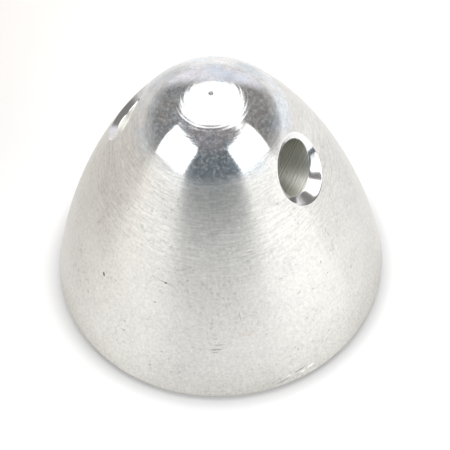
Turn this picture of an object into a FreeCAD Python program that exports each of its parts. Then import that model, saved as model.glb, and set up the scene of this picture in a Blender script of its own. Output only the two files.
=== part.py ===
import FreeCAD, Part
import math
import os
import Sketcher

# Domed propeller nut, turned from one bar of aluminium.
# It screws onto the threaded end of an engine or motor shaft and clamps the propeller with its
# flat base. A bar pushed through the cross hole turns it tight. The frame has its origin at the
# centre of the base, +Z along the shaft axis towards the nose, and +X along the cross hole.

# Driving sizes, in millimetres and degrees: name, value, meaning
SIZES = [
    ("base_diameter", 25.0, "widest diameter, just above the base"),
    ("nut_height", 22.6, "base to the tip of the nose"),
    ("nose_radius", 6.7, "round nose"),
    ("flank_radius", 50.0, "long arc of the flank, tangent to the nose"),
    ("edge_break", 0.3, "45 degree break on the base's outer edge"),
    ("bore_diameter", 6.8, "tapping drill of the shaft thread"),
    ("bore_mouth_width", 0.9, "width of the countersink at the mouth of the bore"),
    ("bore_mouth_angle", 90.0, "included angle of that countersink"),
    ("drill_point_angle", 118.0, "included angle of the drill's point"),
    ("crossing_web", 1.0, "metal left between the drill point and the cross hole"),
    ("cross_hole_diameter", 4.2, "clearance for a 4 mm bar"),
    ("cross_hole_height", 16.5, "base to the axis of the cross hole"),
    ("countersink_width", 0.8, "width of the cross hole's countersink, at the skin"),
    ("countersink_angle", 90.0, "included angle of that countersink"),
    ("countersink_tilt", 35.0, "its axis above the horizontal, about square to the skin"),
    ("centre_mark_diameter", 0.3, "pip left at the tip by the lathe tool"),
    ("centre_mark_angle", 90.0, "included angle of that pip"),
]
VALUE = {name: value for name, value, meaning in SIZES}


def make_sheet(doc):
    """The spreadsheet that holds the driving sizes, one aliased cell each."""
    sheet = doc.addObject("Spreadsheet::Sheet", "sizes")
    for row, (name, value, meaning) in enumerate(SIZES, start=1):
        sheet.set(f"A{row}", name)
        sheet.set(f"B{row}", str(value))
        sheet.set(f"C{row}", meaning)
        sheet.setAlias(f"B{row}", name)
    doc.recompute()
    return sheet


def origin_part(body, role):
    """A plane or axis of the body's own origin, such as XZ_Plane."""
    return next(f for f in body.Origin.OriginFeatures if f.Role == role)


def new_sketch(body, name, plane):
    """An empty sketch on one of the body's origin planes."""
    sketch = body.newObject("Sketcher::SketchObject", name)
    sketch.AttachmentSupport = (origin_part(body, plane), [""])
    sketch.MapMode = "FlatFace"
    return sketch


def point(x, y):
    return FreeCAD.Vector(x, y, 0)


def add_line(sketch, start, end, construction=False):
    return sketch.addGeometry(Part.LineSegment(point(*start), point(*end)), construction)


def add_arc(sketch, centre, radius, start_angle, end_angle):
    circle = Part.Circle(point(*centre), FreeCAD.Vector(0, 0, 1), radius)
    return sketch.addGeometry(Part.ArcOfCircle(circle, start_angle, end_angle), False)


def add_circle(sketch, centre, radius):
    circle = Part.Circle(point(*centre), FreeCAD.Vector(0, 0, 1), radius)
    return sketch.addGeometry(circle, False)


def tie(sketch, *rule):
    """Adds a geometric rule, such as Coincident or Tangent."""
    return sketch.addConstraint(Sketcher.Constraint(*rule))


def drive(sketch, name, formula, *rule):
    """Adds a named dimension and binds it to the sheet."""
    sketch.renameConstraint(tie(sketch, *rule), name)
    sketch.setExpression(f"Constraints.{name}", formula)


def close_triangle(sketch, first, second, third):
    """Joins three lines end to start into a closed loop."""
    tie(sketch, "Coincident", first, 2, second, 1)
    tie(sketch, "Coincident", second, 2, third, 1)
    tie(sketch, "Coincident", third, 2, first, 1)


def flank_centre():
    """Centre of the flank arc: one flank radius from the base's rim, and one flank radius less
    a nose radius from the nose's centre, on the far side of the axis."""
    rim = complex(VALUE["base_diameter"] / 2, VALUE["edge_break"])
    nose = complex(0, VALUE["nut_height"] - VALUE["nose_radius"])
    to_rim = VALUE["flank_radius"]
    to_nose = VALUE["flank_radius"] - VALUE["nose_radius"]
    apart = abs(nose - rim)
    along = (to_rim**2 - to_nose**2 + apart**2) / (2 * apart)
    aside = math.sqrt(to_rim**2 - along**2)
    direction = (nose - rim) / apart
    centre = rim + direction * complex(along, aside)
    return centre.real, centre.imag


def make_profile(body):
    """Half section of the turned blank: base, broken edge, flank arc and nose arc."""
    sketch = new_sketch(body, "turned_profile", "XZ_Plane")
    rim_x = VALUE["base_diameter"] / 2
    break_size = VALUE["edge_break"]
    tip = VALUE["nut_height"]
    nose_radius = VALUE["nose_radius"]
    nose_centre = (0, tip - nose_radius)
    flank_x, flank_z = flank_centre()
    rim_angle = math.atan2(break_size - flank_z, rim_x - flank_x)
    join_angle = math.atan2(nose_centre[1] - flank_z, nose_centre[0] - flank_x)
    flank_radius = VALUE["flank_radius"]
    hole_height = VALUE["cross_hole_height"]

    base = add_line(sketch, (0, 0), (rim_x - break_size, 0))
    edge = add_line(sketch, (rim_x - break_size, 0), (rim_x, break_size))
    flank = add_arc(sketch, (flank_x, flank_z), flank_radius, rim_angle, join_angle)
    nose = add_arc(sketch, nose_centre, nose_radius, join_angle, math.pi / 2)
    axis = add_line(sketch, (0, tip), (0, 0))

    tie(sketch, "Coincident", base, 1, -1, 1)
    tie(sketch, "Coincident", base, 2, edge, 1)
    tie(sketch, "Coincident", edge, 2, flank, 1)
    tie(sketch, "Tangent", flank, 2, nose, 1)
    tie(sketch, "Coincident", nose, 2, axis, 1)
    tie(sketch, "Coincident", axis, 2, base, 1)
    tie(sketch, "Horizontal", base)
    tie(sketch, "Vertical", axis)
    tie(sketch, "PointOnObject", nose, 3, -2)

    drive(sketch, "rim_radius", "sizes.base_diameter / 2", "DistanceX", -1, 1, flank, 1, rim_x)
    drive(sketch, "edge_height", "sizes.edge_break", "DistanceY", -1, 1, flank, 1, break_size)
    drive(sketch, "edge_width", "sizes.edge_break", "DistanceX", edge, 1, edge, 2, break_size)
    drive(sketch, "tip_height", "sizes.nut_height", "DistanceY", -1, 1, nose, 2, tip)
    drive(sketch, "nose_radius", "sizes.nose_radius", "Radius", nose, nose_radius)
    drive(sketch, "flank_radius", "sizes.flank_radius", "Radius", flank, flank_radius)

    # A point on the flank, level with the cross hole, measures where the skin is there.
    skin_x = flank_x + math.sqrt(flank_radius**2 - (hole_height - flank_z) ** 2)
    skin = sketch.addGeometry(Part.Point(point(skin_x, hole_height)), True)
    tie(sketch, "PointOnObject", skin, 1, flank)
    drive(sketch, "hole_height", "sizes.cross_hole_height", "DistanceY", -1, 1, skin, 1, hole_height)
    reading = tie(sketch, "DistanceX", -1, 1, skin, 1, skin_x)
    sketch.setDriving(reading, False)
    sketch.renameConstraint(reading, "skin_at_hole")
    return sketch


def make_blank(body, profile):
    blank = body.newObject("PartDesign::Revolution", "turned_blank")
    blank.Profile = profile
    blank.ReferenceAxis = (profile, ["V_Axis"])
    blank.Angle = 360
    return blank


def make_shaft_bore(doc, body):
    """Blind bore for the shaft thread, drilled up from the base as deep as the cross hole allows."""
    diameter = VALUE["bore_diameter"]
    sketch = new_sketch(body, "bore_circle", "XY_Plane")
    circle = add_circle(sketch, (0, 0), diameter / 2)
    tie(sketch, "Coincident", circle, 3, -1, 1)
    drive(sketch, "diameter", "sizes.bore_diameter", "Diameter", circle, diameter)

    bore = body.newObject("PartDesign::Hole", "shaft_bore")
    bore.Profile = sketch
    doc.recompute()
    bore.DepthType = "Dimension"
    bore.DrillPoint = "Angled"
    bore.HoleCutType = "Countersink"
    bore.HoleCutCustomValues = True
    bore.setExpression("Diameter", "sizes.bore_diameter")
    bore.setExpression("DrillPointAngle", "sizes.drill_point_angle * 1 deg")
    bore.setExpression("HoleCutDiameter", "sizes.bore_diameter + 2 * sizes.bore_mouth_width")
    bore.setExpression("HoleCutCountersinkAngle", "sizes.bore_mouth_angle * 1 deg")
    point_bottom = "sizes.cross_hole_height - sizes.cross_hole_diameter / 2 - sizes.crossing_web"
    point_length = "sizes.bore_diameter / 2 / tan(sizes.drill_point_angle / 2 * 1 deg)"
    bore.setExpression("Depth", f"{point_bottom} - {point_length}")
    bore.Reversed = True
    return bore


def make_cross_hole(body):
    """Hole along X for the turning bar, drilled right through above the bore."""
    height = VALUE["cross_hole_height"]
    diameter = VALUE["cross_hole_diameter"]
    sketch = new_sketch(body, "cross_hole_circle", "YZ_Plane")
    circle = add_circle(sketch, (0, height), diameter / 2)
    tie(sketch, "PointOnObject", circle, 3, -2)
    drive(sketch, "height", "sizes.cross_hole_height", "DistanceY", -1, 1, circle, 3, height)
    drive(sketch, "diameter", "sizes.cross_hole_diameter", "Diameter", circle, diameter)

    hole = body.newObject("PartDesign::Pocket", "cross_hole")
    hole.Profile = sketch
    hole.SideType = "Symmetric"
    hole.Type = "ThroughAll"
    return hole


def make_countersinks(body, profile):
    """Conical countersink at each end of the cross hole, tilted so that it sits square on the
    sloping skin and leaves a rim of even width. The cutting cone reaches one rim diameter past
    the skin, which clears it all round."""
    tilt = math.radians(VALUE["countersink_tilt"])
    half = math.radians(VALUE["countersink_angle"] / 2)
    radius = VALUE["cross_hole_diameter"] / 2 + VALUE["countersink_width"]
    reach = 2 * radius
    height = VALUE["cross_hole_height"]
    flank_x, flank_z = flank_centre()
    skin_x = flank_x + math.sqrt(VALUE["flank_radius"] ** 2 - (height - flank_z) ** 2)

    def on_axis(distance, aside=0.0):
        """A point so far out along the tilted axis, and so far to its side."""
        return (
            skin_x + distance * math.cos(tilt) - aside * math.sin(tilt),
            height + distance * math.sin(tilt) + aside * math.cos(tilt),
        )

    depth = radius / math.tan(half)
    apex = on_axis(-depth)
    outer = on_axis(reach)
    corner = on_axis(reach, (reach + depth) * math.tan(half))

    sketch = new_sketch(body, "countersink_section", "XZ_Plane")
    axis = add_line(sketch, on_axis(0), outer, construction=True)
    core = add_line(sketch, apex, outer)
    lid = add_line(sketch, outer, corner)
    slope = add_line(sketch, corner, apex)
    close_triangle(sketch, core, lid, slope)
    tie(sketch, "Coincident", axis, 2, core, 2)
    tie(sketch, "Parallel", axis, core)
    tie(sketch, "Perpendicular", core, lid)
    rim_radius = "(sizes.cross_hole_diameter / 2 + sizes.countersink_width)"
    half_angle = "sizes.countersink_angle / 2 * 1 deg"
    core_length = f"2 * {rim_radius} + {rim_radius} / tan({half_angle})"
    skin_at_hole = f"{profile.Name}.Constraints.skin_at_hole"
    drive(sketch, "skin_x", skin_at_hole, "DistanceX", -1, 1, axis, 1, skin_x)
    drive(sketch, "skin_z", "sizes.cross_hole_height", "DistanceY", -1, 1, axis, 1, height)
    drive(sketch, "tilt", "sizes.countersink_tilt * 1 deg", "Angle", axis, tilt)
    drive(sketch, "reach", f"2 * {rim_radius}", "Distance", axis, reach)
    drive(sketch, "half_angle", half_angle, "Angle", core, 1, slope, 2, half)
    drive(sketch, "core_length", core_length, "Distance", core, reach + depth)

    first = body.newObject("PartDesign::Groove", "countersink")
    first.Profile = sketch
    first.ReferenceAxis = (sketch, ["Axis0"])
    first.Angle = 360

    both = body.newObject("PartDesign::PolarPattern", "both_countersinks")
    both.Originals = [first]
    both.Axis = (origin_part(body, "Z_Axis"), [""])
    both.Angle = 360
    both.Occurrences = 2
    body.Tip = both
    return both


def make_centre_mark(body):
    """Small conical pip at the tip, where the tool reached the lathe's centre."""
    tip = VALUE["nut_height"]
    radius = VALUE["centre_mark_diameter"] / 2
    half = math.radians(VALUE["centre_mark_angle"] / 2)
    depth = radius / math.tan(half)
    sketch = new_sketch(body, "centre_mark_section", "XZ_Plane")
    core = add_line(sketch, (0, tip - depth), (0, tip + depth))
    lid = add_line(sketch, (0, tip + depth), (2 * radius, tip + depth))
    slope = add_line(sketch, (2 * radius, tip + depth), (0, tip - depth))
    close_triangle(sketch, core, lid, slope)
    tie(sketch, "PointOnObject", core, 1, -2)
    tie(sketch, "Vertical", core)
    tie(sketch, "Horizontal", lid)
    drive(sketch, "width", "sizes.centre_mark_diameter", "DistanceX", lid, 1, lid, 2, 2 * radius)
    half_angle = "sizes.centre_mark_angle / 2 * 1 deg"
    bottom = f"sizes.nut_height - sizes.centre_mark_diameter / 2 / tan({half_angle})"
    drive(sketch, "half_angle", half_angle, "Angle", slope, 2, core, 1, half)
    drive(sketch, "bottom", bottom, "DistanceY", -1, 1, core, 1, tip - depth)
    mark = body.newObject("PartDesign::Groove", "centre_mark")
    mark.Profile = sketch
    mark.ReferenceAxis = (sketch, ["V_Axis"])
    mark.Angle = 360
    return mark


def make_nut(doc):
    """The whole nut as one body. Each cut has to take metal away, so the volume is compared."""
    body = doc.addObject("PartDesign::Body", "propeller_nut")
    body.Label = "propeller_nut"
    profile = make_profile(body)
    steps = [
        lambda: make_blank(body, profile),
        lambda: make_shaft_bore(doc, body),
        lambda: make_cross_hole(body),
        lambda: make_countersinks(body, profile),
        lambda: make_centre_mark(body),
    ]
    volume = None
    for step in steps:
        feature = step()
        doc.recompute()
        print(f"{feature.Label}: {feature.Shape.Volume:.2f} mm3")
        if volume is not None and feature.Shape.Volume >= volume:
            raise RuntimeError(f"{feature.Label} takes no metal away")
        volume = feature.Shape.Volume
    return body


def check(doc, parts):
    """Stops if any object failed, or a part isn't one valid solid. A cut that ended up inside
    the metal would leave a hidden cavity, which shows as a second shell."""
    for item in doc.Objects:
        if "Invalid" in item.State or "Error" in item.State:
            raise RuntimeError(f"{item.Label} failed: {item.State}")
        if item.TypeId == "Sketcher::SketchObject" and item.solve() != 0:
            raise RuntimeError(f"{item.Label} does not solve")
    for part in parts:
        shape = part.Shape
        if shape.isNull() or not shape.isValid() or len(shape.Solids) != 1:
            raise RuntimeError(f"{part.Label} is not one valid solid")
        if len(shape.Shells) != 1:
            raise RuntimeError(f"{part.Label} has a hidden cavity")


def main():
    doc = FreeCAD.newDocument("propeller_nut_model")
    make_sheet(doc)
    parts = [make_nut(doc)]
    doc.recompute()
    check(doc, parts)
    os.makedirs("parts", exist_ok=True)
    for part in parts:
        part.Shape.exportStep(os.path.join("parts", part.Label + ".step"))
        box = part.Shape.BoundBox
        print(f"{part.Label}: {box.XLength:.2f} x {box.YLength:.2f} x {box.ZLength:.2f} mm")


main()
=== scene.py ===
# %% [markdown]
# # A turned propeller nut
# The object is one piece of aluminium: a dome on a flat base, with a threaded bore for the shaft
# and a cross hole for a tommy bar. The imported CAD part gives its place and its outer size. What it
# leaves out is what light shows on metal: the soft edges, the thread, the turning lines and wear.
# This script makes one new skin for the nut, right round it and closed, and then its finishes.

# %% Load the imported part
import math

import bmesh
import bpy
import numpy as np
from mathutils import Matrix, Vector


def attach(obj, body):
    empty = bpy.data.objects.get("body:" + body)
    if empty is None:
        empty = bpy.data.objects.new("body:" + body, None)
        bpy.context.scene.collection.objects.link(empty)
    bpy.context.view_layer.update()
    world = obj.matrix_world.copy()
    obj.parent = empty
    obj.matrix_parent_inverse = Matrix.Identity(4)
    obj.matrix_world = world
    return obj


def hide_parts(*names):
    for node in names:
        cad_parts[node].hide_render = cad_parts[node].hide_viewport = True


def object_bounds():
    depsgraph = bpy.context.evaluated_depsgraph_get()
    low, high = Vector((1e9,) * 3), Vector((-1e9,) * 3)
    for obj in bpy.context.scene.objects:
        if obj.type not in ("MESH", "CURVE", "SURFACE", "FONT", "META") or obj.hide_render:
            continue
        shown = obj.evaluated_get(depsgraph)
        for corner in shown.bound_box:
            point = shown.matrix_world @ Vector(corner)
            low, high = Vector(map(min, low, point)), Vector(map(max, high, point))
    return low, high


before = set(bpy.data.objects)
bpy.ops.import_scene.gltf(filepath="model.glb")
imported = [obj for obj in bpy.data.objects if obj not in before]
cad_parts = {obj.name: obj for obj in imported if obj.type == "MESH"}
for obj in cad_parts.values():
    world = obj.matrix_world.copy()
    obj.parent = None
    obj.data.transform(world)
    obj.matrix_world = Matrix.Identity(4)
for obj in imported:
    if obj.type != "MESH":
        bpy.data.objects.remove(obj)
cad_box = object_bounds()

MM = 0.001
print("CAD box, mm:", [round(corner[axis] / MM, 3) for corner in cad_box for axis in range(3)])

# %% [markdown]
# ## The outline of the nut
# A dome like this is turned on a lathe, so its outline is a few arcs, each tangent to the next: a
# small one where the rim's sharp edge was broken, a long one up the flank, and the round nose. A
# drawn curve would only come near them. Here the outline is a function of one number, the distance
# along it from the rim in millimetres. The base size and the height come from the CAD box.

# %% The three arcs
BASE_RADIUS = cad_box[1].x / MM
NOSE_RADIUS = 6.7
FLANK_RADIUS = 50.0
EDGE_BREAK = 0.3
PIP_RADIUS = 0.15

# the box's top is the edge of the small pip at the tip, a little off the axis
nose_centre = np.array([0.0, cad_box[1].z / MM - math.sqrt(NOSE_RADIUS**2 - PIP_RADIUS**2)])


def far_side_centre():
    """The flank's centre is FLANK_RADIUS from the rim, and FLANK_RADIUS less NOSE_RADIUS from the nose's."""
    rim = np.array([BASE_RADIUS, EDGE_BREAK])
    distance = np.linalg.norm(rim - nose_centre)
    towards = (rim - nose_centre) / distance
    sideways = np.array([-towards[1], towards[0]])
    from_nose = FLANK_RADIUS - NOSE_RADIUS
    forward = (from_nose**2 - FLANK_RADIUS**2 + distance**2) / (2 * distance)
    return nose_centre + towards * forward - sideways * math.sqrt(from_nose**2 - forward**2)


flank_centre = far_side_centre()
rim_turn = math.atan2(EDGE_BREAK - flank_centre[1], BASE_RADIUS - flank_centre[0])
join_turn = math.atan2(nose_centre[1] - flank_centre[1], nose_centre[0] - flank_centre[0])
edge_radius = EDGE_BREAK / (1 + math.sin(rim_turn))
edge_centre = flank_centre + (FLANK_RADIUS - edge_radius) * np.array([math.cos(rim_turn), math.sin(rim_turn)])
edge_length = edge_radius * (rim_turn + math.pi / 2)
flank_length = FLANK_RADIUS * (join_turn - rim_turn)
skin_length = flank_length + NOSE_RADIUS * (math.pi / 2 - join_turn)

ARC_CENTRE = np.array([edge_centre, flank_centre, nose_centre])
ARC_RADIUS = np.array([edge_radius, FLANK_RADIUS, NOSE_RADIUS])
ARC_TURN = np.array([rim_turn, rim_turn, join_turn])
ARC_START = np.array([0.0, 0.0, flank_length])
print("flank", round(flank_length, 2), "mm, whole outline", round(skin_length, 2), "mm")


# %% The skin as a function of two numbers
def skin(around, along):
    """A point and its outward normal: the outline's arc at `along` mm, turned by `around` about the axis.

    An arc's point is its centre plus its radius times (cos turn, sin turn). The normal is that direction."""
    around, along = np.broadcast_arrays(around, along)
    arc = np.searchsorted(ARC_START[1:], along, side="right")
    turn = ARC_TURN[arc] + (along - ARC_START[arc]) / ARC_RADIUS[arc]
    out = ARC_CENTRE[arc, 0] + ARC_RADIUS[arc] * np.cos(turn)
    up = ARC_CENTRE[arc, 1] + ARC_RADIUS[arc] * np.sin(turn)
    point = np.stack([out * np.cos(around), out * np.sin(around), up], -1)
    normal = np.stack([np.cos(turn) * np.cos(around), np.cos(turn) * np.sin(around), np.sin(turn)], -1)
    return point, normal


# %% [markdown]
# ## Patches
# The nut's surface is cut into patches, each a grid of points: rows one way and columns the other.
# Neighbours share the points on their common edge, so that when all patches are put into one mesh
# and points that lie together are merged, the skin is closed, like the real thing.

# %% Collect patches
TURNED_SKIN, COUNTERSUNK_RIM, DRILLED_BORE, FACED_BASE, CUT_THREAD = range(5)
patches = []


def quads(rows, columns, closed):
    """The corners of each face between two rows and two columns.

    The last column of a closed grid meets its first."""
    row, column = np.mgrid[0 : rows - 1, 0 : columns if closed else columns - 1]
    right = (column + 1) % columns
    here, above = row * columns, (row + 1) * columns
    return np.stack([here + column, here + right, above + right, above + column], -1)


def add_patch(points, finish, closed=True, along=0.0, keep=None):
    """Keeps a grid of points with its faces, its finish, and how far along the outline each point lies."""
    faces = quads(*points.shape[:2], closed)
    faces = faces.reshape(-1, 4) if keep is None else faces[keep]
    distance = np.broadcast_to(along, points.shape[:2])
    patches.append((points.reshape(-1, 3), faces, finish, distance.ravel()))


def turned(outline, columns):
    """A grid of points: each (radius, height) of the outline carried round the axis."""
    around = np.linspace(0, 2 * math.pi, columns, endpoint=False)
    outline = np.asarray(outline, float)
    out, up = outline[:, :1], outline[:, 1:]
    return np.stack([out * np.cos(around), out * np.sin(around), up + 0 * around], -1)


# %% [markdown]
# ## The turned skin
# The main patch goes round the nut in steps of one degree. Its rows are closer at the rim, where the
# edge is broken and nicked, and at the tip, where the lathe's live centre left a small pip. The nicks
# are pushed in along the normal, by a depth that fades out like a bell round each nick's middle.
# A window is left open on either side for the cross hole.

# %% Dents in the rim
# around in degrees, along in mm, half length in degrees, half width in mm, depth in mm
RIM_NICKS = [
    (-44.2, 0.20, 2.2, 0.10, 0.035),
    (-40.8, 0.34, 1.4, 0.09, 0.030),
    (-37.0, 0.30, 1.6, 0.14, 0.045),
    (-34.4, 0.48, 1.8, 0.10, 0.040),
    (-31.5, 0.26, 1.7, 0.13, 0.040),
    (-29.6, 0.52, 1.2, 0.08, 0.025),
    (118.0, 0.25, 2.0, 0.12, 0.030),
]


def dent_depth(around, along):
    """The sum over the nicks of depth times exp(-(x^2 + y^2)), with x and y in half lengths and widths."""
    depth = 0.0
    for middle, height, half_length, half_width, deepest in RIM_NICKS:
        x = (np.degrees(around) - middle + 180) % 360 - 180
        y = along - height
        depth = depth + deepest * np.exp(-((x / half_length) ** 2) - (y / half_width) ** 2)
    return depth


print("rim nicks:", len(RIM_NICKS), " deepest, mm:", max(nick[-1] for nick in RIM_NICKS))

# %% Rows, columns and the windows
COLUMNS = 360
ROW_STEP = 0.23
FINE_REACH = 1.5
FINE_STEP = 0.1
PIP_EDGE = 0.04
EDGE_ROWS = 7
WINDOW_LOW = 13.5
WINDOW_HIGH = 21.7
WINDOW_HALF = 27

pip_along = skin_length - NOSE_RADIUS * math.asin((PIP_RADIUS + PIP_EDGE) / NOSE_RADIUS)
along_rows = np.concatenate([
    np.linspace(-edge_length, 0, EDGE_ROWS),
    np.arange(FINE_STEP, FINE_REACH, FINE_STEP),
    np.linspace(FINE_REACH, pip_along, round((pip_along - FINE_REACH) / ROW_STEP)),
])
around_columns = np.radians(np.arange(COLUMNS))
around_grid, along_grid = np.meshgrid(around_columns, along_rows)
points, normals = skin(around_grid, along_grid)
points = points - normals * dent_depth(around_grid, along_grid)[..., None]

low_row = int(np.searchsorted(along_rows, WINDOW_LOW))
high_row = int(np.searchsorted(along_rows, WINDOW_HIGH))
keep = np.ones((len(along_rows) - 1, COLUMNS), bool)
keep[low_row:high_row, :WINDOW_HALF] = False
keep[low_row:high_row, -WINDOW_HALF:] = False
keep[low_row:high_row, COLUMNS // 2 - WINDOW_HALF : COLUMNS // 2 + WINDOW_HALF] = False
add_patch(points, TURNED_SKIN, along=along_grid, keep=keep)
print("turned skin:", len(along_rows), "rows of", COLUMNS, "points")


# %% [markdown]
# ## The pip at the tip
# A small cone where the point of the centre pressed into the nose. Its edge is a short curve between
# the skin and the cone: a quadratic Bezier curve, whose middle point is the sharp corner.

# %% Soft corners and the pip
PIP_STEPS = 3


def soft_corner(before, corner, after, steps):
    """Points of the curve (1-t)^2 before + 2t(1-t) corner + t^2 after, as rows, without the first."""
    t = np.linspace(0, 1, steps + 1)[1:].reshape(-1, *[1] * np.ndim(corner))
    return (1 - t) ** 2 * before + 2 * t * (1 - t) * corner + t**2 * after


def nose_height(out):
    """Height of the nose at that distance from the axis."""
    return nose_centre[1] + math.sqrt(NOSE_RADIUS**2 - out**2)


pip_start = np.array([PIP_RADIUS + PIP_EDGE, nose_height(PIP_RADIUS + PIP_EDGE)])
pip_corner = np.array([PIP_RADIUS, nose_height(PIP_RADIUS)])
pip_bottom = np.array([0.0, pip_corner[1] - PIP_RADIUS])
pip_wall = pip_corner + (pip_bottom - pip_corner) * PIP_EDGE / PIP_RADIUS
pip_outline = np.vstack([pip_start, soft_corner(pip_start, pip_corner, pip_wall, PIP_STEPS), pip_bottom])
add_patch(turned(pip_outline, COLUMNS), TURNED_SKIN, along=skin_length)
print("the pip's bottom is at height", round(float(pip_bottom[1]), 2), "mm")

# %% [markdown]
# ## The cross hole
# The hole goes straight through along X, and each mouth was countersunk square to the sloping skin,
# with a cone of 108 degrees. As the photograph's reflections show, the two cones differ a little in
# height and width. The rim is where a tilted cone meets the dome, which no simple curve gives. So the
# skin round the mouth is drawn as rays from the hole's middle to the points of the window, and on each
# ray the rim is found by halving the stretch that holds it. The same rays then run down the cone to
# the bore, whose two halves meet in one ring in the middle of the nut.

# %% Sizes of the cross hole
HOLE_HEIGHT = 16.5
HOLE_RADIUS = 2.1
COUNTERSINK_HALF_ANGLE = math.radians(54)
COUNTERSINK_TILT = math.radians(34.85)
# each mouth: side, mm that its cone is lower than the hole, mm that its cone is wider all round
MOUTHS = [(1, 0.27, 0.76), (-1, 0.10, 0.81)]
RIM_SOFTNESS = 0.07
BORE_SOFTNESS = 0.05

hole_turn = math.asin((HOLE_HEIGHT - flank_centre[1]) / FLANK_RADIUS)
hole_along = FLANK_RADIUS * (hole_turn - rim_turn)
hole_mouth = skin(0.0, hole_along)[0]
cone_axis = np.array([math.cos(COUNTERSINK_TILT), 0.0, math.sin(COUNTERSINK_TILT)])
print("the hole's axis meets the skin", round(float(hole_mouth[0]), 2), "mm from the nut's")


def cone_gap(point, cone_tip):
    """How far a point is outside the tilted cone: its distance from the axis less depth times the slope."""
    offset = point - cone_tip
    depth = offset @ cone_axis
    sideways = np.linalg.norm(offset - depth[..., None] * cone_axis, axis=-1)
    return sideways - depth * math.tan(COUNTERSINK_HALF_ANGLE)


# %% The rim of the mouth
HALVINGS = 40
window_columns = np.arange(-WINDOW_HALF, WINDOW_HALF + 1)
window_rows = np.arange(low_row, high_row + 1)
edge_columns = np.concatenate([
    window_columns[:-1],
    np.full(len(window_rows) - 1, WINDOW_HALF),
    window_columns[:0:-1],
    np.full(len(window_rows) - 1, -WINDOW_HALF),
])
edge_rows = np.concatenate([
    np.full(len(window_columns) - 1, low_row),
    window_rows[:-1],
    np.full(len(window_columns) - 1, high_row),
    window_rows[:0:-1],
])
edge_around = np.radians(edge_columns)
edge_along = along_rows[edge_rows]


def on_ray(share):
    """A point of the skin on each ray: 0 is the hole's middle and 1 the window's edge."""
    along = hole_along + share * (edge_along - hole_along)
    return skin(share * edge_around, along)[0], along


def rim_share(cone_tip):
    """The share of each ray at which it crosses the cone, by halving the stretch that holds the crossing."""
    near, far = np.zeros(len(edge_around)), np.ones(len(edge_around))
    for _ in range(HALVINGS):
        middle = (near + far) / 2
        outside = cone_gap(on_ray(middle)[0], cone_tip) > 0
        far = np.where(outside, middle, far)
        near = np.where(outside, near, middle)
    return far


print("rays to a window's edge:", len(edge_around))

# %% From the window down to the middle of the nut
COLLAR_ROWS = 10
COLLAR_EASE = 1.6
RIM_STEPS = 4
BORE_STEPS = 3
CONE_ROWS = 7
BORE_ROWS = 14
hole_middle = np.array([0.0, 0.0, HOLE_HEIGHT])


def cone_points(drop, width):
    """For each ray: its share at the rim, the rim's point, the way to the cone's tip, and the bore's start.

    The bore starts at the share of that way at which the distance from the hole's axis is HOLE_RADIUS."""
    depth = (HOLE_RADIUS + width) / math.tan(COUNTERSINK_HALF_ANGLE)
    cone_tip = hole_mouth - [0, 0, drop] - cone_axis * depth
    share = rim_share(cone_tip)
    rim_point = on_ray(share)[0]
    to_tip = cone_tip - rim_point
    off_axis = (rim_point - hole_middle)[:, 1:]
    a = (to_tip[:, 1:] ** 2).sum(-1)
    b = (to_tip[:, 1:] * off_axis).sum(-1)
    c = (off_axis**2).sum(-1) - HOLE_RADIUS**2
    bore_point = rim_point + ((-b - np.sqrt(b**2 - a * c)) / a)[:, None] * to_tip
    return share, rim_point, to_tip, bore_point


# the two halves of the bore meet in this ring, in the middle of the nut
middle_ring = (cone_points(0.0, MOUTHS[0][2])[3] - hole_middle) * [0, 1, 1]


def add_mouth(side, drop, width):
    """Adds one end of the hole: collar, rim, cone and its half of the bore."""
    share, rim_point, to_tip, bore_point = cone_points(drop, width)
    ray_length = np.linalg.norm(on_ray(np.ones(len(edge_around)))[0] - rim_point, axis=-1)
    soft_share = share + (1 - share) * RIM_SOFTNESS / ray_length
    ease = np.linspace(1, 0, COLLAR_ROWS)[:, None] ** COLLAR_EASE
    collar, collar_along = on_ray(soft_share + (1 - soft_share) * ease)

    reach = np.linalg.norm(to_tip, axis=-1)[:, None]
    cone_start = rim_point + to_tip * RIM_SOFTNESS / reach
    cone_end = bore_point - to_tip * BORE_SOFTNESS / reach
    bore_start = bore_point - np.array([BORE_SOFTNESS, 0, 0])
    cone = cone_start + np.linspace(0, 1, CONE_ROWS)[:, None, None] * (cone_end - cone_start)
    outwards = np.linspace(1, 0, BORE_ROWS)[:, None, None]
    start_ring = (bore_start - hole_middle) * [0, 1, 1]
    ring = middle_ring + outwards * (start_ring - middle_ring)
    ring = ring * HOLE_RADIUS / np.linalg.norm(ring, axis=-1, keepdims=True)
    bore = ring + hole_middle + outwards * bore_start * [1, 0, 0]

    mirror = np.array([side, 1, 1])
    rim_rows = np.concatenate([collar[-1:], soft_corner(collar[-1], rim_point, cone_start, RIM_STEPS)])
    cone_rows = np.concatenate([cone, soft_corner(cone[-1], bore_point, bore_start, BORE_STEPS)])
    add_patch(collar * mirror, TURNED_SKIN, along=collar_along)
    add_patch(rim_rows * mirror, COUNTERSUNK_RIM)
    add_patch(cone_rows * mirror, COUNTERSUNK_RIM)
    add_patch(bore * mirror, DRILLED_BORE)
    heights, starts = rim_point[:, 2], bore_point[:, 0]
    print("mouth from height", heights.min().round(2), "to", heights.max().round(2), "mm")
    print("bore starts", starts.min().round(2), "to", starts.max().round(2), "mm off the axis")


for mouth in MOUTHS:
    add_mouth(*mouth)

# %% [markdown]
# ## The base and the thread
# The base was faced flat. Its mouth is a short cone, and the thread in the bore is an M8 with a pitch
# of 1.25 mm. A screw surface is a skewed grid: each row climbs by one pitch in a turn, so a row's end
# meets the start of the row one pitch up, and the groove keeps its place in the rows. A Screw
# modifier would give the same helix but not its run-out, nor the way that the mouth's cone cuts it.

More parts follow.
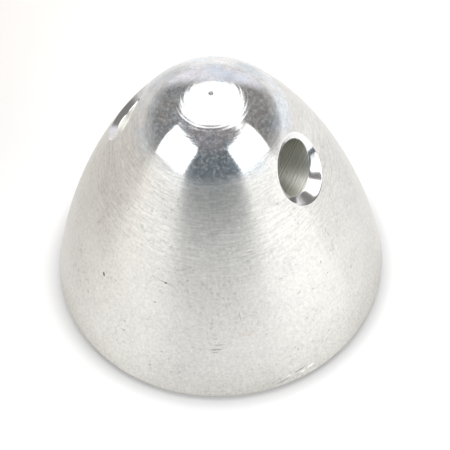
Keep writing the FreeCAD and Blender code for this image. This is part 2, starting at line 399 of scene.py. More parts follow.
# %% The faced base
MOUTH_RADIUS = 4.3
THREAD_COLUMNS = COLUMNS // 2
BASE_RINGS = 8
OUTER_RINGS = 4
foot_radius = skin(0.0, -edge_length)[0][0]
base_radii = np.linspace(foot_radius, MOUTH_RADIUS, BASE_RINGS)
add_patch(turned([(radius, 0.0) for radius in base_radii[:OUTER_RINGS]], COLUMNS), FACED_BASE)
add_patch(turned([(radius, 0.0) for radius in base_radii[OUTER_RINGS:]], THREAD_COLUMNS), FACED_BASE)

# between them, a ring of triangles has twice as many points outside as inside
outer = turned([(base_radii[OUTER_RINGS - 1], 0.0)], COLUMNS)[0]
inner = turned([(base_radii[OUTER_RINGS], 0.0)], THREAD_COLUMNS)[0]
first = np.arange(THREAD_COLUMNS)
outer_0, outer_1, outer_2 = 2 * first, 2 * first + 1, (2 * first + 2) % COLUMNS
inner_0, inner_1 = COLUMNS + first, COLUMNS + (first + 1) % THREAD_COLUMNS
fan = np.concatenate([
    np.stack([outer_0, outer_1, inner_0, inner_0], -1),
    np.stack([outer_1, inner_1, inner_0, inner_0], -1),
    np.stack([outer_1, outer_2, inner_1, inner_1], -1),
])
patches.append((np.vstack([outer, inner]), fan, FACED_BASE, np.zeros(COLUMNS + THREAD_COLUMNS)))
print("base flat from", round(MOUTH_RADIUS, 2), "to", round(float(foot_radius), 2), "mm off the axis")

# %% The thread
PITCH = 1.25
BORE_RADIUS = 3.4
THREAD_DEPTH = 0.6
ROOT_HALF = 0.078
THREAD_HALF_ANGLE = math.radians(30)
FLANK_WIDTH = THREAD_DEPTH * math.tan(THREAD_HALF_ANGLE)
FADE_START = 9.3
FADE_END = 10.8
BORE_END = 11.36
DRILL_HALF_ANGLE = math.radians(59)
DRILL_ROWS = 8
# rows on one side of the groove's middle, in mm from it: close together where the wall turns
GROOVE_STEP = 0.012
FLANK_ROW = 0.25
CREST_ROWS = [0.412, 0.437]

groove_corner = [ROOT_HALF - GROOVE_STEP, ROOT_HALF + GROOVE_STEP]
from_groove = np.array([GROOVE_STEP, *groove_corner, FLANK_ROW, *CREST_ROWS])
in_pitch = np.concatenate([-from_groove[::-1], from_groove]) + PITCH / 2
turns = np.arange(-1, math.ceil(BORE_END / PITCH))
row_start = (turns[:, None] * PITCH + in_pitch).ravel()
row_start = np.concatenate([[-PITCH], row_start, [BORE_END]])


def screw_surface(start, around):
    """The height is the row's start plus PITCH per turn; the radius is the tapping drill's plus the groove's
    depth, faded out at the top, or the mouth's cone where that is wider."""
    height = np.clip(start + PITCH * around / (2 * math.pi), 0, BORE_END)
    off_centre = np.abs(start % PITCH - PITCH / 2)
    depth = THREAD_DEPTH * np.clip((ROOT_HALF + FLANK_WIDTH - off_centre) / FLANK_WIDTH, 0, 1)
    fade = np.clip((FADE_END - height) / (FADE_END - FADE_START), 0, 1)
    radius = np.maximum(MOUTH_RADIUS - height, BORE_RADIUS + depth * fade)
    return np.stack([radius * np.cos(around), radius * np.sin(around), height], -1)


thread_around = np.linspace(0, 2 * math.pi, THREAD_COLUMNS + 1)
add_patch(screw_surface(row_start[:, None], thread_around), CUT_THREAD, closed=False)
drill_tip = BORE_END + BORE_RADIUS / math.tan(DRILL_HALF_ANGLE)
drill_cone = np.linspace((BORE_RADIUS, BORE_END), (0.0, drill_tip), DRILL_ROWS)
add_patch(turned(drill_cone, THREAD_COLUMNS), CUT_THREAD)
print("thread:", len(row_start), "rows; the drill's point ends at", round(drill_tip, 2), "mm")

# %% [markdown]
# ## One closed mesh
# All patches go into one mesh. Points that lie together become one, faces that shrank to nothing go,
# and the normals are turned to point outwards. A closed skin has exactly two faces at every edge.

# %% Build the nut
WELD = 1e-8
FINISHES = ["turned_skin", "countersunk_rim", "drilled_bore", "faced_base", "cut_thread"]


def build_nut():
    """The patches as one mesh in metres, with the distance along the outline kept at each point."""
    starts = np.cumsum([0] + [len(patch[0]) for patch in patches])
    all_points = np.vstack([patch[0] for patch in patches]) * MM
    all_faces = np.vstack([patch[1] + start for patch, start in zip(patches, starts)])
    finishes = np.concatenate([np.full(len(patch[1]), patch[2]) for patch in patches])
    distance = np.concatenate([patch[3] for patch in patches])
    mesh = bpy.data.meshes.new("propeller_nut_skin")
    mesh.vertices.add(len(all_points))
    mesh.vertices.foreach_set("co", all_points.ravel())
    triangle = all_faces[:, 2] == all_faces[:, 3]
    sizes = np.where(triangle, 3, 4)
    corners = all_faces[np.arange(4) < sizes[:, None]]
    mesh.loops.add(len(corners))
    mesh.loops.foreach_set("vertex_index", corners)
    mesh.polygons.add(len(all_faces))
    mesh.polygons.foreach_set("loop_start", np.cumsum(sizes) - sizes)
    mesh.polygons.foreach_set("material_index", finishes.astype(np.int32))
    for finish in FINISHES:
        mesh.materials.append(bpy.data.materials.new(finish))
    attribute = mesh.attributes.new("along", "FLOAT", "POINT")
    attribute.data.foreach_set("value", distance.astype(np.float32))
    mesh.update(calc_edges=True)
    return mesh


def close_skin(mesh):
    """Merges points that lie together, turns all faces outwards, and prints the count of open edges."""
    shell = bmesh.new()
    shell.from_mesh(mesh)
    bmesh.ops.remove_doubles(shell, verts=shell.verts, dist=WELD)
    bmesh.ops.recalc_face_normals(shell, faces=shell.faces)
    volume = shell.calc_volume(signed=True)
    if volume < 0:
        bmesh.ops.reverse_faces(shell, faces=shell.faces)
    open_edges = sum(not edge.is_manifold for edge in shell.edges)
    for face in shell.faces:
        face.smooth = True
    shell.to_mesh(mesh)
    shell.free()
    print("open edges:", open_edges, " volume, mm3:", round(abs(volume) / MM**3, 1))


nut_mesh = build_nut()
close_skin(nut_mesh)
nut = bpy.data.objects.new("propeller_nut_skin", nut_mesh)
bpy.context.scene.collection.objects.link(nut)
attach(nut, "root")
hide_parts("propeller_nut")
nut_mesh.calc_loop_triangles()
print("triangles:", len(nut_mesh.loop_triangles))

# %% [markdown]
# ## Shader maths as expressions
# A finish is a formula: how bright, how rough and how high the metal is at a point. Nodes hold such
# formulas, but a page of node calls hides them. The class below wraps one output socket, so that
# `1 - mask * 0.3` adds the Math nodes it needs, and one method adds any other node.


# %% A socket that takes part in sums
class Value:
    """One output of a finish's nodes. Sums with numbers or other values add Math nodes."""

    def __init__(self, finish, socket):
        self.finish = finish
        self.socket = socket

    def __add__(self, other):
        return self.finish.maths("ADD", self, other)

    def __sub__(self, other):
        return self.finish.maths("SUBTRACT", self, other)

    def __rsub__(self, other):
        return self.finish.maths("SUBTRACT", other, self)

    def __mul__(self, other):
        return self.finish.maths("MULTIPLY", self, other)

    def __truediv__(self, other):
        return self.finish.maths("DIVIDE", self, other)

    def __rtruediv__(self, other):
        return self.finish.maths("DIVIDE", other, self)

    __radd__ = __add__
    __rmul__ = __mul__


class Finish:
    """The nodes of one material."""

    def __init__(self, material):
        material.use_nodes = True
        self.tree = material.node_tree
        self.tree.nodes.clear()
        self.output = self.tree.nodes.new("ShaderNodeOutputMaterial")

    def node(self, kind, settings=None, output=0, **inputs):
        """Adds a node: its settings first, then its sockets by name (spaces as _) or in order as _0, _1.

        It gives the output of that name or number."""
        made = self.tree.nodes.new("ShaderNode" + kind)
        for name, setting in (settings or {}).items():
            setattr(made, name, setting)
        for name, value in inputs.items():
            plain = name.lstrip("_")
            socket = made.inputs[int(plain)] if plain.isdigit() else made.inputs[plain.replace("_", " ")]
            if isinstance(value, Value):
                self.tree.links.new(value.socket, socket)
            else:
                socket.default_value = value
        return Value(self, made.outputs[output])

    def maths(self, operation, *values):
        """A Math node of that operation."""
        return self.node("Math", {"operation": operation}, **{f"_{i}": v for i, v in enumerate(values)})

    def vector(self, operation, *values, output=0, scale=None):
        """A Vector Math node of that operation."""
        inputs = {f"_{i}": v for i, v in enumerate(values)}
        if scale is not None:
            inputs["Scale"] = scale
        return self.node("VectorMath", {"operation": operation}, output=output, **inputs)

    def smooth(self, value, start, end):
        """0 up to start and 1 from end, with a soft change between them."""
        inputs = dict(Value=value, From_Min=start, From_Max=end)
        return self.node("MapRange", {"interpolation_type": "SMOOTHSTEP"}, **inputs)

    def between(self, share, first, second):
        """The colour that is that share of the way from the first to the second.

        A Mix node has sockets of the same name for each type, so its colours go by their numbers."""
        inputs = dict(_0=share, _6=first, _7=second)
        return self.node("Mix", {"data_type": "RGBA"}, output=2, **inputs)

    def noise(self, scale, detail, roughness, vector=None):
        """Soft random lumps, about 0.5 on average; scale is lumps in a metre of Object coordinates."""
        place = self.place() if vector is None else vector
        inputs = dict(Vector=place, Scale=scale, Detail=detail, Roughness=roughness)
        return self.node("TexNoise", {"noise_dimensions": "3D"}, **inputs)

    def place(self):
        """The point on the object."""
        return self.node("TexCoord", output="Object")

    def surface(self, **inputs):
        """Links a Principled shader with these inputs to the output."""
        shader = self.node("BsdfPrincipled", **inputs)
        self.tree.links.new(shader.socket, self.output.inputs["Surface"])


def colour(red, green, blue):
    """A colour as a node's socket wants it."""
    return (red, green, blue, 1.0)


# %% [markdown]
# ## Turned and polished aluminium
# The tool leaves fine rings all round, and a light polish takes most of them off: the nose mirrors
# the lamps, and the flank is satin. Rings are bump, because they are a few thousandths of a
# millimetre high. They follow the attribute `along`, so they run round the axis right up to the tip.
#
# Hairs and short dashes run round too, as noise on rings, and specks, blotches, a white frost and a cooler
# tint come from noise at the point itself. Each scratch, dot and stain that the photograph shows is a small
# leaning ellipse at its own place; the bright and dark ellipses on the rim's nicks are painted glints and
# painted shade. The pip has painted shade, and the metal near the rim is tinted warmer as a painted
# reflection of the paper.

# %% Marks on the skin
METAL = colour(0.700, 0.686, 0.652)
METAL_BRIGHT = colour(0.704, 0.704, 0.704)
METAL_COOL = colour(0.63, 0.69, 0.74)
# near the rim the metal is tinted warmer: a painted reflection of the paper's warmth
METAL_WARM_REFLECTION = colour(0.700, 0.682, 0.640)
STAIN = colour(0.64, 0.575, 0.52)
# around in degrees, along in mm, half length and half width in mm, lean in degrees from level, and the
# share of light lost, which is negative for a bright mark
MARKS_AND_GLINTS = [
    (-119.7, 8.15, 0.19, 0.11, -55, 0.85),
    (-90.6, 10.96, 1.00, 0.030, -11, 0.35),
    (-88.2, 10.98, 0.62, 0.028, -6, 0.28),
    (-89.1, 10.92, 0.11, 0.08, 0, 0.70),
    (-92.8, 8.78, 0.13, 0.08, 0, 0.45),
    (-89.9, 9.90, 0.12, 0.10, 0, 0.20),
    (-104.7, 5.43, 0.10, 0.16, 0, 0.22),
    (-104.5, 4.45, 0.17, 0.10, 30, 0.28),
    (-57.2, 8.34, 0.50, 0.030, 97, 0.40),
    (-67.6, 6.21, 0.20, 0.06, 4, 0.32),
    (-66.0, 5.58, 0.42, 0.06, 4, 0.36),
    (-67.3, 5.11, 0.46, 0.08, 5, 0.42),
    (-67.8, 4.82, 0.26, 0.06, 0, 0.36),
    (10.0, 13.22, 0.30, 0.028, 74, 0.40),
    (6.3, 13.00, 0.22, 0.028, 70, 0.30),
    (-104.0, 16.56, 0.10, 0.08, 0, 0.35),
    (-107.3, 14.88, 0.20, 0.16, 0, 0.20),
    (-88.9, 14.28, 0.12, 0.22, -30, 0.22),
    (-19.9, 14.15, 0.08, 0.15, -20, 0.45),
    (-15.1, 8.20, 0.08, 0.08, 0, 0.40),
    (-16.6, 9.64, 0.08, 0.12, -20, 0.30),
    (-30.9, 8.51, 0.22, 0.10, 30, 0.25),
    (-27.7, 5.10, 0.18, 0.05, -50, 0.25),
    (-15.8, 4.25, 0.18, 0.04, 90, 0.28),
    (-22.3, 3.01, 0.10, 0.08, 0, 0.30),
    (-36.3, 3.09, 0.10, 0.13, 0, 0.25),
    (-78.8, 10.60, 0.08, 0.22, 10, 0.15),
    # these five lie on the rim's nicks: the dark ones are painted shade in the dents, the bright ones painted
    # glints on them
    (-43.8, 0.36, 0.62, 0.045, 12, 0.60),
    (-37.1, 0.84, 0.56, 0.060, 9, 0.50),
    (-41.4, 0.72, 0.18, 0.07, 12, -0.35),
    (-36.0, 0.52, 0.26, 0.11, 10, -0.42),
    (-32.6, 0.66, 0.36, 0.13, 10, -0.42),
    (-49.1, 14.11, 0.28, 0.05, 0, -0.30),
    (-49.1, 13.98, 0.25, 0.03, 0, 0.30),
    (-52.5, 16.29, 0.10, 0.07, 0, -0.35),
    (-58.8, 14.22, 0.10, 0.07, 0, -0.25),
    (-53.2, 22.79, 0.05, 0.20, 8, -0.40),
    (-3.1, 22.08, 0.12, 0.08, 0, -0.40),
]
STAIN_PLACE = (-54.8, 6.45, 0.8, 0.28, 4, 0)
STAIN_SHARE = 0.5
MARK_EDGE = (0.3, 1.4)
print("marks:", len(MARKS_AND_GLINTS))

# %% Noises of the turned skin
NOISE_MIDDLE = 0.5
# lumps in a metre of the object, detail, roughness
CLOUD = (260, 3.0, 0.55)
GRAIN = (4200, 3.0, 0.6)
SPECK = (2900, 5.0, 0.7)
FROST = (3700, 4.0, 0.75)
BLOTCH = (1000, 4.0, 0.7)
COOL = (420, 3.0, 0.6)
UNEVEN = (2600, 3.0, 0.6)
# lumps in 1 on a ring of radius 1, detail, roughness; and how far 1 mm along the outline moves there
BRUSHED = (34, 3.0, 0.7)
HAIR = (110, 2.0, 0.6)
DASH = (7, 2.0, 0.6)
HAIR_PITCH = 0.03
DASH_PITCH = 0.9
# stripes in a mm along the outline
BROAD_LINES = 4.5
FINE_LINES = 6.5
# values of a noise between which what it makes sets in
SPECK_EDGE = (0.55, 0.72)
SPECK_CLOUD = (0.36, 0.60)
FROST_EDGE = (0.42, 0.68)
COOL_EDGE = (0.46, 0.60)
print("lumps of the grain, mm:", round(1 / (GRAIN[0] * MM), 2))

# %% Where the finish changes, in mm along the outline
POLISHED = (19.95, 20.15)
NOSE = (19.0, 21.6)
FRINGES = (23.4, 24.2)
FRINGES_END = (25.1, 25.8)
DASHES = (10.0, 15.0)
DASHES_END = (20.5, 22.0)
FINER_SATIN = (14.0, 18.8)
FIRST_SHINE = (20.1, 21.1)
FULL_SHINE = (21.0, 23.0)
ABOVE_RIM = (0.3, 4.0)
PIP_SHADE = (skin_length - 0.17, skin_length - 0.08)
print("the polish starts", round(skin_length - POLISHED[0], 2), "mm from the tip")

# %% How rough, how high and how dark
SATIN = 0.36
SATIN_LEAST = 0.283
SATIN_GAIN = 0.08
SATIN_SPREAD = 0.06
SHINE = 0.26
SHINE_MOST = 0.262
FIRST_GAIN = 0.12
FULL_GAIN = 0.03
FROST_ROUGHNESS = 0.02
# heights in mm
BROAD_HEIGHT = 0.0022
FRINGE_HEIGHT = 0.0062
FINE_HEIGHT = 0.0016
UNEVEN_HEIGHT = 0.0024
# shares of the light that each takes
SPECK_LOSS = 0.36
GRAIN_LOSS = 0.46
CLOUD_LOSS = 0.16
BRUSH_LOSS = 0.18
HAIR_LOSS = 0.22
DASH_LOSS = 0.6
DASH_LEAST = 0.08
BLOTCH_LOSS = 0.75
PIP_PAINTED_SHADE = 0.5
NOSE_CALM = 0.4
LEAST_LIGHT = 0.1
COOL_SHARE = 0.7
FROST_LEAST = 0.06
FROST_NOSE = 0.20
STREAK = 0.8
STREAK_TURN = 0.25
GRAZING = colour(0.91, 0.91, 0.91)
print("roughness of the satin from", SATIN_LEAST, "up, of the polish up to", SHINE_MOST)


# %% The turned skin
def mark_mask(f, around, along, mark):
    """1 inside a small leaning ellipse and 0 outside, with a soft edge."""
    middle, height, half_length, half_width, lean, _ = mark
    radius = float(skin(0.0, height)[0][0])
    turned_by = math.radians(lean)
    x = (around - math.radians(middle)) * radius
    y = along - height
    u = (x * math.cos(turned_by) + y * math.sin(turned_by)) / half_length
    v = (y * math.cos(turned_by) - x * math.sin(turned_by)) / half_width
    return 1 - f.smooth(u * u + v * v, *MARK_EDGE)


def turned_skin(material):
    """Satin on the flank, brighter on the nose, with turning lines, faint stains and small marks; painted
    glints and shade on the rim's nicks, painted shade in the pip, and a painted warm reflection near the rim.
    """
    f = Finish(material)
    along = f.node("Attribute", {"attribute_name": "along"}, output="Fac")
    place = f.place()
    x = f.node("SeparateXYZ", output="X", Vector=place)
    y = f.node("SeparateXYZ", output="Y", Vector=place)
    around = f.maths("ARCTAN2", y, x)
    radius = f.maths("SQRT", x * x + y * y)
    hair_ring = f.node("CombineXYZ", X=x / radius, Y=y / radius, Z=along * HAIR_PITCH)
    dash_ring = f.node("CombineXYZ", X=x / radius, Y=y / radius, Z=along * DASH_PITCH)

    polished = f.smooth(along, *POLISHED)
    nose = f.smooth(along, *NOSE)
    cloud = f.noise(*CLOUD)
    grain = f.noise(*GRAIN)
    speck = f.smooth(f.noise(*SPECK), *SPECK_EDGE)
    frost = f.smooth(f.noise(*FROST), *FROST_EDGE)
    blotch = f.noise(*BLOTCH)
    cool = f.smooth(f.noise(*COOL), *COOL_EDGE)
    brushed = f.noise(*BRUSHED, vector=hair_ring)
    hairs = f.noise(*HAIR, vector=hair_ring)
    dashes = f.noise(*DASH, vector=dash_ring)

    fringes = f.smooth(along, *FRINGES) * (1 - f.smooth(along, *FRINGES_END))
    broad = f.node("TexNoise", {"noise_dimensions": "1D"}, W=along, Scale=BROAD_LINES, Detail=0.0)
    fine = f.node("TexNoise", {"noise_dimensions": "1D"}, W=along, Scale=FINE_LINES, Detail=2.0)
    lines = broad * (BROAD_HEIGHT * nose + FRINGE_HEIGHT * fringes)
    lines = lines + fine * (FINE_HEIGHT + FINE_HEIGHT * nose)
    height = lines + f.noise(*UNEVEN) * UNEVEN_HEIGHT
    bump = f.node("Bump", Strength=1.0, Distance=MM, Height=height)

    satin = SATIN - f.smooth(along, *FINER_SATIN) * SATIN_GAIN
    satin = satin + (cloud - NOISE_MIDDLE) * SATIN_SPREAD + (grain - NOISE_MIDDLE) * SATIN_SPREAD
    shine = SHINE - f.smooth(along, *FIRST_SHINE) * FIRST_GAIN - f.smooth(along, *FULL_SHINE) * FULL_GAIN
    shine = shine + frost * FROST_ROUGHNESS
    roughness = f.maths("MAXIMUM", satin, SATIN_LEAST) * (1 - polished)
    roughness = roughness + f.maths("MINIMUM", shine, SHINE_MOST) * polished

    banded = f.smooth(along, *DASHES) * (1 - f.smooth(along, *DASHES_END))
    lost = speck * f.smooth(cloud, *SPECK_CLOUD) * SPECK_LOSS
    lost = lost + (grain - NOISE_MIDDLE) * GRAIN_LOSS + (cloud - NOISE_MIDDLE) * CLOUD_LOSS
    lost = lost + (brushed - NOISE_MIDDLE) * BRUSH_LOSS + (hairs - NOISE_MIDDLE) * HAIR_LOSS
    lost = lost + (dashes - NOISE_MIDDLE) * (banded * DASH_LOSS + DASH_LEAST)
    lost = lost * (1 - nose * NOSE_CALM) + (blotch - NOISE_MIDDLE) * nose * BLOTCH_LOSS
    for mark in MARKS_AND_GLINTS:
        lost = lost + mark_mask(f, around, along, mark) * mark[-1]
    # painted shade in the pip's hollow at the tip
    lost = lost + f.smooth(along, *PIP_SHADE) * PIP_PAINTED_SHADE
    kept = f.maths("MAXIMUM", 1 - lost, LEAST_LIGHT)
    metal = f.between(f.smooth(along, *ABOVE_RIM), METAL_WARM_REFLECTION, METAL)
    metal = f.between(nose, metal, METAL_BRIGHT)
    metal = f.between(cool * nose * COOL_SHARE, metal, METAL_COOL)
    metal = f.between(mark_mask(f, around, along, STAIN_PLACE) * STAIN_SHARE, metal, STAIN)
    metal = f.vector("SCALE", metal, scale=kept)
    f.surface(Base_Color=metal, Metallic=1 - frost * (FROST_LEAST + nose * FROST_NOSE), Roughness=roughness,
              Normal=bump, Anisotropic=STREAK, Anisotropic_Rotation=STREAK_TURN, Specular_Tint=GRAZING)


turned_skin(bpy.data.materials["turned_skin"])
print("nodes of the turned skin:", len(bpy.data.materials["turned_skin"].node_tree.nodes))

# %% The other finishes
BORE_METAL = colour(0.66, 0.66, 0.60)
MOTTLE = (1200, 3.0, 0.6)
MOTTLE_HEIGHT = 0.002
# two sets of scratches: how far 1 m along X and 1 m up move on the noise, stripes in 1, detail, share
SCRATCH_ACROSS = 1000.0
LEANING_UP = 264.0
LEANING_SCALE = 10.0
LEANING_SHARE = 0.65
CROSSING_UP = 420.0
CROSSING_SCALE = 9.0
CROSSING_SHARE = 0.35
SCRATCH_DETAIL = 3.0
# finish: metal, roughness, its spread, height of the scratches in mm, and how strongly their strokes are
# painted lighter and darker as painted light and shade
CUTS = {
    "countersunk_rim": (METAL_BRIGHT, 0.14, 0.10, 0.0, 0.0),
    "drilled_bore": (BORE_METAL, 0.48, 0.1, 0.036, 1.3),
    "faced_base": (METAL, 0.33, 0.05, 0.0, 0.0),
    "cut_thread": (METAL, 0.33, 0.05, 0.0, 0.0),
}


def plain_cut(material, base, roughness, spread, ridge, shade):
    """Metal as a cutter leaves it: its roughness varies a little, and scratches may lean across X."""
    f = Finish(material)
    place = f.place()
    mottle = f.noise(*MOTTLE)
    x = f.node("SeparateXYZ", output="X", Vector=place)
    z = f.node("SeparateXYZ", output="Z", Vector=place)
    leaning = f.node("TexNoise", {"noise_dimensions": "1D"}, W=x * SCRATCH_ACROSS - z * LEANING_UP,
                     Scale=LEANING_SCALE, Detail=SCRATCH_DETAIL)
    crossing = f.node("TexNoise", {"noise_dimensions": "1D"}, W=x * SCRATCH_ACROSS + z * CROSSING_UP,
                      Scale=CROSSING_SCALE, Detail=SCRATCH_DETAIL)
    scratches = leaning * LEANING_SHARE + crossing * CROSSING_SHARE
    bump = f.node("Bump", Strength=1.0, Distance=MM, Height=scratches * ridge + mottle * MOTTLE_HEIGHT)
    # the scratches' strokes are also painted lighter and darker in the colour, as painted light and shade of
    # their ridges
    metal = f.vector("SCALE", base[:3], scale=1 - (scratches - NOISE_MIDDLE) * shade)
    roughness = roughness + (mottle - NOISE_MIDDLE) * spread
    f.surface(Base_Color=metal, Metallic=1.0, Roughness=roughness, Normal=bump)


for name, cut in CUTS.items():
    plain_cut(bpy.data.materials[name], *cut)
print("other finishes:", ", ".join(CUTS))

# %% [markdown]
# ## The camera
# Its direction was found by fitting the outline, the rim of the cross hole and the base to the
# photograph: 26.2 degrees round from the front, 55.9 degrees up, and rolled by 3.2 degrees.

# %% Camera
VIEW_AZIMUTH = math.radians(26.2)
VIEW_ELEVATION = math.radians(55.89)
VIEW_ROLL = math.radians(3.21)
VIEW_DISTANCE = 425.0
VIEW_LENS = 443.9
AIM_HEIGHT = 7.5
AIM_RIGHT = 0.567
AIM_UP = -1.340

to_camera = Vector((math.sin(VIEW_AZIMUTH) * math.cos(VIEW_ELEVATION),
                    -math.cos(VIEW_AZIMUTH) * math.cos(VIEW_ELEVATION), math.sin(VIEW_ELEVATION)))
level_right = Vector((math.cos(VIEW_AZIMUTH), math.sin(VIEW_AZIMUTH), 0.0))
level_up = to_camera.cross(level_right)
right = level_right * math.cos(VIEW_ROLL) - level_up * math.sin(VIEW_ROLL)
up = level_up * math.cos(VIEW_ROLL) + level_right * math.sin(VIEW_ROLL)
aim = Vector((0, 0, AIM_HEIGHT)) + right * AIM_RIGHT + up * AIM_UP

camera_data = bpy.data.cameras.new("photo_camera")
camera_data.lens = VIEW_LENS
camera_data.clip_start = 0.01
camera_data.clip_end = 10
camera = bpy.data.objects.new("photo_camera", camera_data)
camera.matrix_world = Matrix.Translation((aim + to_camera * VIEW_DISTANCE) * MM) @ Matrix(
    (right, up, to_camera)).transposed().to_4x4()
bpy.context.scene.collection.objects.link(camera)
bpy.context.scene.camera = camera
print("camera at, mm:", [round(x / MM, 1) for x in camera.location])

# %% [markdown]
# ## The studio
# Polished metal shows the room. The photograph's reflections tell where its lamps were: one large
# soft lamp with eight corners overhead and behind, one soft box at each side, and a dim room in
# between, lighter near the horizon, with a white wall low down at the back. The room is a ball that
# the camera doesn't see.
#
# The floor is a white sheet that ends a little way in front of the nut, and it has a hole under the nut so
# that the base can be seen from below. It lies 0.3 mm under the base, so that the nut has its narrow shadow
# at the rim. As in the photograph, its colour has painted light to the front right and straight behind,
# painted shade and warmth to the back left and far off, and a painted contact shadow round the rim.

# %% Directions from the photograph's side
front = Vector((to_camera.x, to_camera.y, 0)).normalized()


def stage_point(towards, sideways, height):
    """A place in the studio, in metres: mm towards the camera, mm to its right, and mm up."""
    return (front * towards + level_right * sideways + Vector((0, 0, height))) * MM


print("front:", [round(part, 3) for part in front])

# %% Soft lamps
def softbox(name, middle, size, radiance):
    """A rectangular lamp that faces the nut; its power is pi times its area times its radiance."""
    data = bpy.data.lights.new(name, "AREA")
    data.shape = "RECTANGLE"
    data.size, data.size_y = size[0] * MM, size[1] * MM
    data.energy = math.pi * data.size * data.size_y * radiance
    lamp = bpy.data.objects.new(name, data)
    lamp.location = middle
    lamp.rotation_mode = "QUATERNION"
    lamp.rotation_quaternion = middle.to_track_quat("Z", "Y")
    lamp.visible_camera = False
    bpy.context.scene.collection.objects.link(lamp)
    print(name, "of", round(data.energy, 2), "watts")


LAMP_REACH = 400.0
LAMP_RISE = math.radians(31)
LAMP_SIZE = (325, 300)
# name, degrees to the camera's right, radiance
SIDE_LAMPS = [("left_lamp", -61.0, 2.4), ("right_lamp", 55.0, 2.35)]
for name, side, radiance in SIDE_LAMPS:
    level_reach = LAMP_REACH * math.cos(LAMP_RISE)
    side_turn = math.radians(side)
    middle = stage_point(level_reach * math.cos(side_turn), level_reach * math.sin(side_turn),
                         LAMP_REACH * math.sin(LAMP_RISE))
    softbox(name, middle, LAMP_SIZE, radiance)


# %% The lamp overhead
OVERHEAD_HEIGHT = 400.0
OVERHEAD_RADIANCE = 2.0
# corners, towards the camera and to its right, in shares of the lamp's height
OVERHEAD_CORNERS = [(-1.32, -0.42), (-1.34, 0.62), (-1.12, 0.80), (-0.42, 0.82),
                    (0.24, 0.70), (0.16, -0.37), (-0.25, -0.72), (-0.66, -0.76)]

corners = [stage_point(towards * OVERHEAD_HEIGHT, sideways * OVERHEAD_HEIGHT, OVERHEAD_HEIGHT)
           for towards, sideways in OVERHEAD_CORNERS]
panel_mesh = bpy.data.meshes.new("overhead_panel")
panel_mesh.from_pydata(corners, [], [range(len(corners))])
panel = bpy.data.objects.new("overhead_panel", panel_mesh)
bpy.context.scene.collection.objects.link(panel)
panel_finish = Finish(bpy.data.materials.new("lit_cloth"))
light = panel_finish.node("Emission", Strength=OVERHEAD_RADIANCE)
panel_finish.tree.links.new(light.socket, panel_finish.output.inputs["Surface"])
panel_mesh.materials.append(bpy.data.materials["lit_cloth"])
panel.visible_camera = False
print("overhead lamp of", len(corners), "corners")

# %% Floor
FLOOR_HOLE = 11.9
FLOOR_FRONT = 140.0
FLOOR_BACK = 900.0
FLOOR_SIDE = 900.0
FLOOR_DROP = 0.3
FLOOR_SPOKES = 96
FLOOR_RINGS = 12
NEARLY_NOTHING = 1e-9
FLOOR_COLOUR = colour(0.86, 0.86, 0.86)
FLOOR_WHITE = colour(1.0, 1.0, 1.0)
PAINTED_WARM_SHADE = colour(1.0, 0.968, 0.93)
# painted light and shade in the floor's colour: lighter to the lit side and straight behind, darker and
# warmer on the other side and far off, and a painted contact shadow at the nut's rim
LIT_SIDE = math.radians(58)
PAINTED_LIGHT_GAIN = 0.22
PAINTED_DIM_SHADE = 0.21
PAINTED_BACK_LIGHT = 0.14
PAINTED_FAR_SHADE = 0.11
PAINTED_CONTACT_SHADOW = 0.19
# metres from the axis between which each change sets in
LIT_REACH = (0.008, 0.034)
BEHIND_REACH = (0.020, 0.036)
FAR_REACH = (0.036, 0.056)
CONTACT_REACH = (0.0124, 0.0140)
# the same for the cosine of the turn from the front
BEHIND_TURN = (-0.95, -1.0)
FRONT_TURN = (-0.3, 0.5)


def floor_mesh():
    """Rings from the round hole to the sheet's square edge: a share of the way between the two, squared."""
    turn = np.linspace(0, 2 * math.pi, FLOOR_SPOKES, endpoint=False)
    towards, sideways = np.cos(turn), np.sin(turn)
    depth = np.where(towards > 0, FLOOR_FRONT, FLOOR_BACK)
    reach = np.minimum(depth / np.maximum(np.abs(towards), NEARLY_NOTHING),
                       FLOOR_SIDE / np.maximum(np.abs(sideways), NEARLY_NOTHING))
    share = np.linspace(0, 1, FLOOR_RINGS)[:, None] ** 2
    distance = FLOOR_HOLE + share * (reach - FLOOR_HOLE)
    east = distance * (towards * front.x + sideways * level_right.x)
    north = distance * (towards * front.y + sideways * level_right.y)
    points = np.stack([east, north, np.full_like(east, -FLOOR_DROP)], -1) * MM
    faces = quads(FLOOR_RINGS, FLOOR_SPOKES, True).reshape(-1, 4)[:, ::-1]
    mesh = bpy.data.meshes.new("floor_sheet")
    mesh.from_pydata(points.reshape(-1, 3), [], faces.tolist())
    return mesh


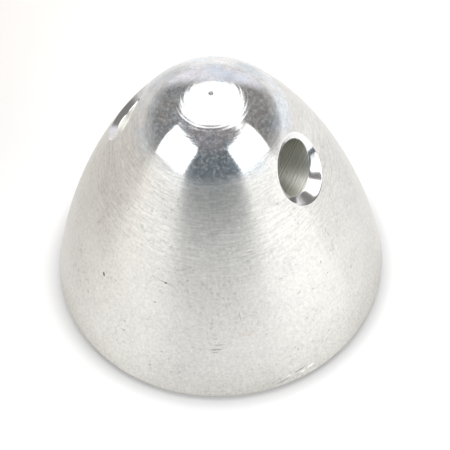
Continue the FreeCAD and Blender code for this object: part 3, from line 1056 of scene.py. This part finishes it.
def floor_finish(material):
    """White paper, which isn't seen from below.

    Seen straight, in the metal or through it, its colour is 1 plus painted light on the lit side and straight
    behind, less painted shade on the other side and far off, and less a painted contact shadow at the nut's
    rim; the shaded side is painted warmer too."""
    f = Finish(material)
    rays = ["Is Camera Ray", "Is Glossy Ray", "Is Transmission Ray"]
    seen = f.maths("MINIMUM", sum(f.node("LightPath", output=ray) for ray in rays), 1.0)
    plain = f.node("BsdfDiffuse", Color=FLOOR_COLOUR)
    place = f.place()
    away = f.vector("LENGTH", place, output="Value")
    lit_side = front * math.cos(LIT_SIDE) + level_right * math.sin(LIT_SIDE)
    lit = f.vector("DOT_PRODUCT", place, tuple(lit_side), output="Value") / away * f.smooth(away, *LIT_REACH)
    forward = f.vector("DOT_PRODUCT", place, tuple(front), output="Value") / away
    behind = f.smooth(forward, *BEHIND_TURN) * f.smooth(away, *BEHIND_REACH)
    far = f.smooth(away, *FAR_REACH) * (1 - f.smooth(forward, *FRONT_TURN)) * (1 - behind)
    # painted contact shadow round the nut's rim
    painted_contact_shadow = 1 - f.smooth(away, *CONTACT_REACH)
    painted_lightness = 1 + f.maths("MAXIMUM", lit, 0.0) * PAINTED_LIGHT_GAIN + f.maths("MINIMUM", lit, 0.0) * PAINTED_DIM_SHADE
    painted_lightness = painted_lightness + behind * PAINTED_BACK_LIGHT - far * PAINTED_FAR_SHADE - painted_contact_shadow * PAINTED_CONTACT_SHADOW
    # the painted shade on the dim side is also painted warmer
    tint = f.between(f.maths("MAXIMUM", 0.0 - lit, 0.0), FLOOR_WHITE, PAINTED_WARM_SHADE)
    shown = f.node("BsdfDiffuse", Color=f.vector("SCALE", tint, scale=painted_lightness))
    sheet = f.node("MixShader", _0=seen, _1=plain, _2=shown)
    clear = f.node("BsdfTransparent")
    below = f.node("NewGeometry", output="Backfacing")
    both = f.node("MixShader", _0=below, _1=sheet, _2=clear)
    f.tree.links.new(both.socket, f.output.inputs["Surface"])


floor = bpy.data.objects.new("floor_sheet", floor_mesh())
bpy.context.scene.collection.objects.link(floor)
floor_material = bpy.data.materials.new("white_paper")
floor_finish(floor_material)
floor.data.materials.append(floor_material)
print("floor of", len(floor.data.polygons), "faces")

# %% The dim room
ROOM_RADIUS = 1500.0
ROOM_LOWEST = math.radians(-50)
ROOM_ROWS = 24
ROOM_SPOKES = 48
ROOM_FRONT = colour(0.170, 0.200, 0.222)
ROOM_SIDE = colour(0.285, 0.278, 0.270)
ROOM_LOW = colour(0.62, 0.60, 0.585)
ROOM_TOP = colour(0.29, 0.265, 0.275)
ROOM_BACK = colour(1.05, 1.03, 1.09)
BACK_TURN = math.radians(4.5)
# the upward part of a direction between which the glow changes
LOW_RISE = (-0.02, 0.30)
TOP_RISE = (0.6, 0.95)
WALL_TOP = (0.55, 0.75)
# the same for its parts towards the front and the wall
FRONT_EDGE = (0.1, 0.6)
WALL_EDGE = (0.74, 0.90)


def room_mesh():
    """A ball from the lowest elevation up to the pole, as rows of points round the axis."""
    rise = np.linspace(ROOM_LOWEST, math.pi / 2, ROOM_ROWS)
    outline = np.stack([ROOM_RADIUS * np.cos(rise), ROOM_RADIUS * np.sin(rise)], -1)
    points = (turned(outline, ROOM_SPOKES) * MM).reshape(-1, 3)
    mesh = bpy.data.meshes.new("studio_room")
    mesh.from_pydata(points, [], quads(ROOM_ROWS, ROOM_SPOKES, True).reshape(-1, 4).tolist())
    return mesh


def room_finish(material):
    """A dim glow: bluish in front, warmer at the sides, lighter near the horizon, and a white wall behind."""
    f = Finish(material)
    direction = f.vector("NORMALIZE", f.place())
    rise = f.node("SeparateXYZ", output="Z", Vector=direction)
    behind = level_right * math.sin(BACK_TURN) - front * math.cos(BACK_TURN)
    forward = f.vector("DOT_PRODUCT", direction, tuple(front), output="Value")
    backward = f.vector("DOT_PRODUCT", direction, tuple(behind), output="Value")
    glow = f.between(f.smooth(rise, *LOW_RISE), ROOM_LOW, ROOM_SIDE)
    glow = f.between(f.smooth(forward, *FRONT_EDGE), glow, ROOM_FRONT)
    glow = f.between(f.smooth(rise, *TOP_RISE), glow, ROOM_TOP)
    glow = f.between(f.smooth(backward, *WALL_EDGE) * (1 - f.smooth(rise, *WALL_TOP)), glow, ROOM_BACK)
    light = f.node("Emission", Color=glow)
    f.tree.links.new(light.socket, f.output.inputs["Surface"])


room = bpy.data.objects.new("studio_room", room_mesh())
bpy.context.scene.collection.objects.link(room)
room_material = bpy.data.materials.new("grey_walls")
room_finish(room_material)
room.data.materials.append(room_material)
room.visible_camera = False
print("room of", len(room.data.polygons), "faces")

# %% World and colour
world = bpy.data.worlds.new("white_background")
world.use_nodes = True
world.node_tree.nodes["Background"].inputs["Color"].default_value = colour(1, 1, 1)
world.node_tree.nodes["Background"].inputs["Strength"].default_value = 1.0
bpy.context.scene.world = world
bpy.context.scene.view_settings.view_transform = "Standard"
